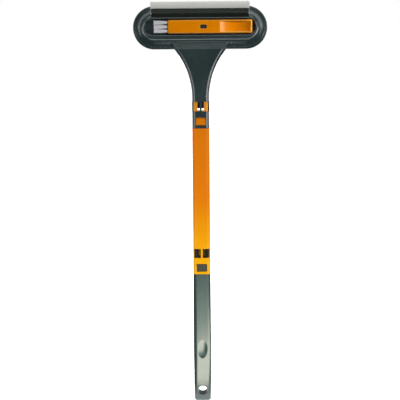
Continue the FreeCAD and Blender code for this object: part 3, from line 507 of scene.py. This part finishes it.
steelFinish = {"bright": (0.66, 0.66, 0.67, 1), "dull": (0.42, 0.42, 0.43, 1), "rough": (0.22, 0.45)}
brassFinish = {"bright": (0.78, 0.58, 0.26, 1), "dull": (0.5, 0.36, 0.15, 1), "rough": (0.25, 0.5)}
metalSet = {"grain": 3200.0, "mottle": 420.0, "bump": 0.1, "bumpStep": 0.05 * mm}


def makeMetal(name, finish):
    material, tree, shader = newMaterial(name)
    skin = addGroup(tree, mouldedSkin, Grain=metalSet["grain"], Mottle=metalSet["mottle"])
    mottling = skin.outputs["Mottling"]
    addBump(tree, shader, skin.outputs["Height"], metalSet["bump"], metalSet["bumpStep"])
    setInputs(tree, shader, Base_Color=mixColour(tree, mottling, finish["dull"], finish["bright"]),
              Roughness=mapRange(tree, mottling, *noiseSpan, *finish["rough"]), Metallic=1)
    return material


bristleFinish = {"pale": (0.96, 0.95, 0.97, 1), "shaded": (0.6, 0.58, 0.62, 1), "rough": (0.32, 0.5),
                 "strands": (18, 1700, 1700), "strandDetail": 1.0, "toneSpan": (0.3, 0.62)}


def makeBristleNylon():
    material, tree, shader = newMaterial("bristleNylon")
    strands = linesNode(tree, ownPlace(tree), bristleFinish["strands"], bristleFinish["strandDetail"])
    tone = mapRange(tree, strands, *bristleFinish["toneSpan"])
    setInputs(tree, shader, Base_Color=mixColour(tree, tone, bristleFinish["shaded"], bristleFinish["pale"]),
              Roughness=mapRange(tree, strands, *noiseSpan, *bristleFinish["rough"]))
    return material


padFinish = {"tip": (0.7, 0.71, 0.69, 1), "root": (0.36, 0.38, 0.37, 1), "rough": (0.85, 0.97),
             "scales": (260.0, 26.0, 1500.0),  # clumps, slow drift, fibres
             "detail": 3.0, "clumpTone": (-0.05, 0.6), "driftTone": 0.45, "bump": 0.5, "bumpStep": 0.3 * mm,
             "sheen": 0.35, "sheenRough": 0.45}


def makePadFabric():
    material, tree, shader = newMaterial("padFabric")
    place = ownPlace(tree)
    clumps, drift, fibres = [noiseNode(tree, place, scale, padFinish["detail"])
                             for scale in padFinish["scales"]]
    tone = mathNode(tree, "MULTIPLY_ADD", drift, padFinish["driftTone"],
                    mapRange(tree, clumps, *noiseSpan, *padFinish["clumpTone"]))
    addBump(tree, shader, fibres, padFinish["bump"], padFinish["bumpStep"])
    setInputs(tree, shader, Base_Color=mixColour(tree, tone, padFinish["root"], padFinish["tip"]),
              Roughness=mapRange(tree, clumps, *noiseSpan, *padFinish["rough"]),
              Sheen_Weight=padFinish["sheen"], Sheen_Roughness=padFinish["sheenRough"])
    return material


bindingFinish = {"thread": (0.075, 0.085, 0.083, 1), "gap": (0.028, 0.033, 0.033, 1), "pitch": 900,
                 "wobble": 0.6, "detail": 1.0, "bump": 0.4, "bumpStep": 0.25 * mm, "rough": 0.8,
                 "sheen": 0.2}


def makeBindingWeave():
    material, tree, shader = newMaterial("bindingWeave")
    wave = addNode(tree, "ShaderNodeTexWave", {"bands_direction": "DIAGONAL"}, Vector=ownPlace(tree),
                   Scale=bindingFinish["pitch"], Distortion=bindingFinish["wobble"],
                   Detail=bindingFinish["detail"])
    threads = wave.outputs["Fac"]
    woven = mixColour(tree, threads, bindingFinish["gap"], bindingFinish["thread"])
    addBump(tree, shader, threads, bindingFinish["bump"], bindingFinish["bumpStep"])
    setInputs(tree, shader, Base_Color=woven, Roughness=bindingFinish["rough"],
              Sheen_Weight=bindingFinish["sheen"])
    return material


hookFinish = {"hook": (0.06, 0.062, 0.064, 1), "gap": (0.014, 0.014, 0.015, 1), "pitch": 1250.0,
              "stray": 0.35, "bump": 0.6, "bumpStep": 0.3 * mm, "rough": 0.6}


def makeHookNylon():
    material, tree, shader = newMaterial("hookNylon")
    cells = addNode(tree, "ShaderNodeTexVoronoi", None, Vector=ownPlace(tree), Scale=hookFinish["pitch"],
                    Randomness=hookFinish["stray"])
    away = cells.outputs["Distance"]
    addBump(tree, shader, away, hookFinish["bump"], hookFinish["bumpStep"]).invert = True
    setInputs(tree, shader, Base_Color=mixColour(tree, away, hookFinish["hook"], hookFinish["gap"]),
              Roughness=hookFinish["rough"])
    return material


finishes = {name: makePlastic(name) for name in plasticFinishes}
finishes["bladeRubber"] = makeRubber()
finishes["screwSteel"] = makeMetal("screwSteel", steelFinish)
finishes["anchorBrass"] = makeMetal("anchorBrass", brassFinish)
finishes["bristleNylon"] = makeBristleNylon()
finishes["padFabric"] = makePadFabric()
finishes["bindingWeave"] = makeBindingWeave()
finishes["hookNylon"] = makeHookNylon()
print("finishes made:", len(finishes))

nodeFinishes = {
    "greenPlastic": ["lower_plug", "head_shell", "neck_cover"],
    "litGreenPlastic": ["handle_front_shell", "handle_back_shell"],
    "blackPlastic": ["squeegee_holder"],
    "orangePlastic": ["upper_latch"],
    "litPlugPlastic": ["upper_plug"],
    "brushPlastic": ["brush_handle"],
    "polePlastic": ["mid_pole_tube"],
    "greyPlastic": ["pad_plate"],
    "latchPlastic": ["lower_latch"],
    "bladeRubber": ["squeegee_blade"],
    "screwSteel": ["handle_screws", "lower_plug_screws", "upper_plug_screws", "neck_cover_screws",
                   "pad_plate_screws", "squeegee_screws"],
    "anchorBrass": ["tuft_anchors"],
    "hookNylon": ["hook_sheet"],
    "padFabric": ["pad_backing", "pad_foam", "pad_cover"],
    "bristleNylon": ["bristle_tufts"],
}


def dress(piece, finish):
    piece.data.materials.clear()
    piece.data.materials.append(finishes[finish])


def dressNodes():
    for finish, names in nodeFinishes.items():
        for name in names:
            dress(cadNodes[name], finish)
    print("nodes dressed:", sum(len(names) for names in nodeFinishes.values()))


# Gap brush bristles: six tufts of loose filaments
bristleSet = {
    "rows": 2, "columns": 3, "rowPitch": 6.4 * mm, "columnPitch": 6.9 * mm,
    "rootRadius": 1.7 * mm, "tipRadius": 2.95 * mm, "tipDraw": 0.06, "length": 21.4 * mm, "buried": 3 * mm,
    "filament": 0.21 * mm, "sides": 5, "cuts": 3, "perTuft": 110, "trim": 0.9 * mm, "curl": 0.35 * mm,
    "scatter": 0.25 * mm, "turnJitter": 0.12, "smooth": 50, "seed": 5,
}


def makeBristles():
    draw = random.Random(bristleSet["seed"])
    tuftLow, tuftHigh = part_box("bristle_tufts")
    middle = (tuftLow + tuftHigh) / 2
    mouth = tuftLow.x + bristleSet["length"]
    deselectAll()
    bpy.ops.mesh.primitive_cylinder_add(vertices=bristleSet["sides"], radius=bristleSet["filament"], depth=1,
                                        rotation=(0, math.radians(-90), 0), location=(-0.5, 0, 0))
    filament = bpy.context.object  # one unit long, root at the origin
    applyPlace(filament)
    bpy.ops.object.mode_set(mode="EDIT")
    bpy.ops.mesh.select_mode(type="EDGE")
    bpy.ops.mesh.select_all(action="DESELECT")
    bpy.ops.object.mode_set(mode="OBJECT")
    for edge in filament.data.edges:
        ends = [filament.data.vertices[index].co.x for index in edge.vertices]
        edge.select = abs(ends[0] - ends[1]) > 0.5  # the long edges
    bpy.ops.object.mode_set(mode="EDIT")
    bpy.ops.mesh.subdivide(number_cuts=bristleSet["cuts"])
    bpy.ops.object.mode_set(mode="OBJECT")

    copies = []
    turn = math.pi * (3 - math.sqrt(5))  # sunflower spacing
    scatter, curl, jitter = bristleSet["scatter"], bristleSet["curl"], bristleSet["turnJitter"]
    for row in range(bristleSet["rows"]):
        for column in range(bristleSet["columns"]):
            y = middle.y + (row - (bristleSet["rows"] - 1) / 2) * bristleSet["rowPitch"]
            z = middle.z + (column - (bristleSet["columns"] - 1) / 2) * bristleSet["columnPitch"]
            spin = draw.uniform(0, 2 * math.pi)
            for index in range(bristleSet["perTuft"]):
                share = math.sqrt((index + 0.5) / bristleSet["perTuft"])
                angle = spin + index * turn + draw.uniform(-jitter, jitter)
                across = Vector((0, math.cos(angle), math.sin(angle)))
                root = across * share * bristleSet["rootRadius"]
                tip = across * share * bristleSet["tipRadius"]
                tip += Vector((0, middle.y - y, middle.z - z)) * bristleSet["tipDraw"]
                tip += Vector((0, draw.gauss(0, scatter), draw.gauss(0, scatter)))
                bow = Vector((0, draw.gauss(0, curl), draw.gauss(0, curl)))
                reach = bristleSet["length"] - draw.uniform(0, bristleSet["trim"]) + bristleSet["buried"]
                twin = copyOf(filament, Matrix.Identity(4))
                for vertex in twin.data.vertices:
                    along = -vertex.co.x
                    middlePath = root.lerp(tip, along) + bow * 4 * along * (1 - along)  # most half way
                    vertex.co.x = mouth + bristleSet["buried"] - along * reach
                    vertex.co.y += y + middlePath.y
                    vertex.co.z += z + middlePath.z
                copies.append(twin)
    bpy.data.objects.remove(filament)
    bristles = joinAll(copies, "bristles")
    dress(bristles, "bristleNylon")
    smoothByAngle(bristles, bristleSet["smooth"])
    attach(bristles, "gap_brush")
    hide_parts("bristle_tufts")
    print("bristles made:", len(bristles.data.polygons), "faces")


# Pan-head screws with a cross recess, heads to the back
screwSet = {
    "headRadius": 2.7 * mm, "headThick": 1.5 * mm, "shank": 1.35 * mm, "edge": 0.55 * mm,
    "crossLong": 3.1 * mm, "crossWide": 0.75 * mm, "crossDeep": 0.9 * mm,
    "sides": 28, "shankSides": 16, "edgeSteps": 4, "turns": (25, 75), "smooth": 35,  # turns in degrees
    "sets": {
        "handleScrews": ("handle_screws", "handle"),
        "lowerPlugScrews": ("lower_plug_screws", "handle"),
        "upperPlugScrews": ("upper_plug_screws", "mid_pole"),
        "neckCoverScrews": ("neck_cover_screws", "head"),
    },
}


def makeScrews():
    turnBack = Matrix.Rotation(math.radians(-90), 4, "X")
    deselectAll()
    bpy.ops.mesh.primitive_cylinder_add(vertices=screwSet["sides"], radius=screwSet["headRadius"],
                                        depth=screwSet["headThick"],
                                        location=(0, 0, -screwSet["headThick"] / 2))
    head = bpy.context.object
    applyPlace(head)
    chooseVertices(head, lambda point: point.z > -screwSet["headThick"] / 2)
    bpy.ops.mesh.bevel(offset=screwSet["edge"], segments=screwSet["edgeSteps"])
    bpy.ops.object.mode_set(mode="OBJECT")
    arm = (screwSet["crossLong"], screwSet["crossWide"])
    for size in (arm, arm[::-1]):
        deselectAll()
        bpy.ops.mesh.primitive_cube_add(size=1)
        cutter = bpy.context.object
        cutter.scale = (size[0], size[1], screwSet["crossDeep"] * 2)
        applyPlace(cutter)
        recess = head.modifiers.new("recess", "BOOLEAN")
        recess.object = cutter
        recess.solver = "EXACT"
        applyModifiers(head)
        bpy.data.objects.remove(cutter)
    head.data.transform(turnBack)

    for name, (node, body) in screwSet["sets"].items():
        low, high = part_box(node)
        middle = (low + high) / 2
        places = [low.z + screwSet["headRadius"], high.z - screwSet["headRadius"]]
        made = []
        for z, turn in zip(places, screwSet["turns"]):
            spin = Matrix.Rotation(math.radians(turn), 4, "Y")
            made.append(copyOf(head, Matrix.Translation((middle.x, high.y, z)) @ spin))
            deselectAll()
            length = high.y - low.y - screwSet["headThick"]
            bpy.ops.mesh.primitive_cylinder_add(vertices=screwSet["shankSides"], radius=screwSet["shank"],
                                                depth=length, rotation=(math.radians(90), 0, 0),
                                                location=(middle.x, low.y + length / 2, z))
            shank = bpy.context.object
            applyPlace(shank)
            made.append(shank)
        screws = joinAll(made, name)
        dress(screws, "screwSteel")
        smoothByAngle(screws, screwSet["smooth"])
        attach(screws, body)
        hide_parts(node)
    bpy.data.objects.remove(head)
    print("screws made:", len(screwSet["sets"]), "sets")


# Scrubbing pad: plush cover swollen by cloth, short pile, bound edge
padSet = {
    "corners": 24, "shrink": 2.2 * mm, "voxel": 4.5 * mm, "soften": (0.6, 3), "held": 3 * mm,
    "pressure": 4.0, "frames": 20, "quality": 6, "cap": 3.2 * mm,  # the cloth run, and its furthest reach
    "seatGap": 1.2 * mm, "bindingThick": 2.4 * mm, "bindingProud": 1.2 * mm, "bindingRound": 0.45,
    "bindingCorners": 40, "bindingSteps": 3, "bindingSmooth": 50,
    "pile": 11500, "pileHeight": 2.1 * mm, "pileWidth": 0.52 * mm, "pileSides": 3, "pileTip": 0.35,
    "pileSink": 0.32, "pileBase": -0.9, "pileEdge": -0.35, "pileSizes": (0.75, 1.2), "pileTurn": 6.28,
    "lean": 0.33, "seed": 11,
}


def racetrackSlab(width, height, yFront, yBack, z, corners):
    deselectAll()
    bpy.ops.mesh.primitive_cylinder_add(vertices=corners * 2, radius=height / 2, depth=yBack - yFront,
                                        rotation=(math.radians(90), 0, 0),
                                        location=(0, (yFront + yBack) / 2, z))
    slab = bpy.context.object
    slab.rotation_euler.rotate_axis("Z", math.pi / (corners * 2))  # no corner on the middle line
    applyPlace(slab)
    for side in (-1, 1):
        chooseVertices(slab, lambda point: point.x * side > 0)
        bpy.ops.transform.translate(value=(side * (width - height) / 2, 0, 0))
        bpy.ops.object.mode_set(mode="OBJECT")
    return slab


def makePadBody(low, high, seatY):
    z = (low.z + high.z) / 2
    shrink = padSet["shrink"]
    body = racetrackSlab(high.x - low.x - shrink * 2, high.z - low.z - shrink * 2,
                         seatY, high.y - shrink, z, padSet["corners"])
    remesh = body.modifiers.new("even", "REMESH")
    remesh.mode = "VOXEL"
    remesh.voxel_size = padSet["voxel"]
    applyModifiers(body)
    soft = body.modifiers.new("round", "SMOOTH")
    soft.factor, soft.iterations = padSet["soften"]
    applyModifiers(body)
    rest = [vertex.co.copy() for vertex in body.data.vertices]
    seated = [vertex.index for vertex in body.data.vertices if vertex.co.y < seatY + padSet["held"]]
    held = body.vertex_groups.new(name="held")
    held.add(seated, 1.0, "REPLACE")
    cloth = body.modifiers.new("swell", "CLOTH")
    cloth.settings.use_pressure = True
    cloth.settings.uniform_pressure_force = padSet["pressure"]
    cloth.settings.effector_weights.gravity = 0
    cloth.settings.vertex_group_mass = held.name
    cloth.settings.quality = padSet["quality"]
    cloth.point_cache.frame_start = 1
    cloth.point_cache.frame_end = padSet["frames"]
    for step in range(1, padSet["frames"] + 1):
        sceneNow.frame_set(step)
    applyModifiers(body)
    sceneNow.frame_set(1)
    for vertex, start in zip(body.data.vertices, rest):
        shift = vertex.co - start
        if shift.length > padSet["cap"]:
            vertex.co = start + shift.normalized() * padSet["cap"]
    for vertex in body.data.vertices:
        vertex.co.y = max(vertex.co.y, seatY)
    body.vertex_groups.clear()
    finer = body.modifiers.new("finer", "SUBSURF")
    finer.levels = finer.render_levels = 1
    applyModifiers(body)
    makeActive(body)
    bpy.ops.object.shade_smooth()
    return body


def makePile(body):
    draw = random.Random(padSet["seed"])
    deselectAll()
    bpy.ops.mesh.primitive_cone_add(vertices=padSet["pileSides"], radius1=padSet["pileWidth"],
                                    radius2=padSet["pileWidth"] * padSet["pileTip"],
                                    depth=padSet["pileHeight"], end_fill_type="NGON",
                                    location=(0, 0, padSet["pileHeight"] * padSet["pileSink"]))
    lock = bpy.context.object
    applyPlace(lock)
    lockPoints = [vertex.co.copy() for vertex in lock.data.vertices]
    lockFaces = [tuple(face.vertices) for face in lock.data.polygons
                 if face.normal.z > padSet["pileBase"]]  # the sunk base is left off
    bpy.data.objects.remove(lock)
    faces = [face for face in body.data.polygons if face.normal.y > padSet["pileEdge"]]
    areas = [face.area for face in faces]
    points, polygons = [], []
    for face in draw.choices(faces, weights=areas, k=padSet["pile"]):
        corners = [body.data.vertices[index].co for index in face.vertices]
        u, v = draw.random(), draw.random()
        spot = corners[0].lerp(corners[1], u).lerp(corners[3 % len(corners)].lerp(corners[2], u), v)
        sway = Vector((draw.gauss(0, 1), draw.gauss(0, 1), draw.gauss(0, 1))) * padSet["lean"]
        turn = (face.normal + sway).normalized().to_track_quat("Z", "Y").to_matrix()
        size = draw.uniform(*padSet["pileSizes"])
        spin = Matrix.Rotation(draw.uniform(0, padSet["pileTurn"]), 3, "Z")
        start = len(points)
        points.extend(spot + turn @ (spin @ (point * size)) for point in lockPoints)
        polygons.extend(tuple(start + index for index in lockFace) for lockFace in lockFaces)
    mesh = bpy.data.meshes.new("padPile")
    mesh.from_pydata(points, [], polygons)
    pile = bpy.data.objects.new("padPile", mesh)
    sceneNow.collection.objects.link(pile)
    makeActive(pile)
    bpy.ops.object.shade_smooth()
    return pile


def makePad():
    low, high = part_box("pad_cover")
    backLow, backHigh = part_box("pad_backing")
    z = (low.z + high.z) / 2
    seatY = backLow.y
    body = makePadBody(low, high, seatY + padSet["seatGap"])
    pile = makePile(body)
    dress(body, "padFabric")
    dress(pile, "padFabric")
    proud = padSet["bindingProud"]
    binding = racetrackSlab(backHigh.x - backLow.x + proud * 2, backHigh.z - backLow.z + proud * 2,
                            seatY, seatY + padSet["bindingThick"], z, padSet["bindingCorners"])
    rim = binding.modifiers.new("rim", "BEVEL")
    rim.width = padSet["bindingThick"] * padSet["bindingRound"]
    rim.segments = padSet["bindingSteps"]
    rim.limit_method = "ANGLE"
    applyModifiers(binding)
    dress(binding, "bindingWeave")
    smoothByAngle(binding, padSet["bindingSmooth"])
    pad = joinAll([body, pile, binding], "scrubPad")
    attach(pad, "head")
    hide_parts("pad_cover", "pad_foam", "pad_backing")
    print("pad made:", len(pad.data.polygons), "faces")


makeCamera()
makeStudio()
dressNodes()
makeBristles()
makeScrews()
makePad()
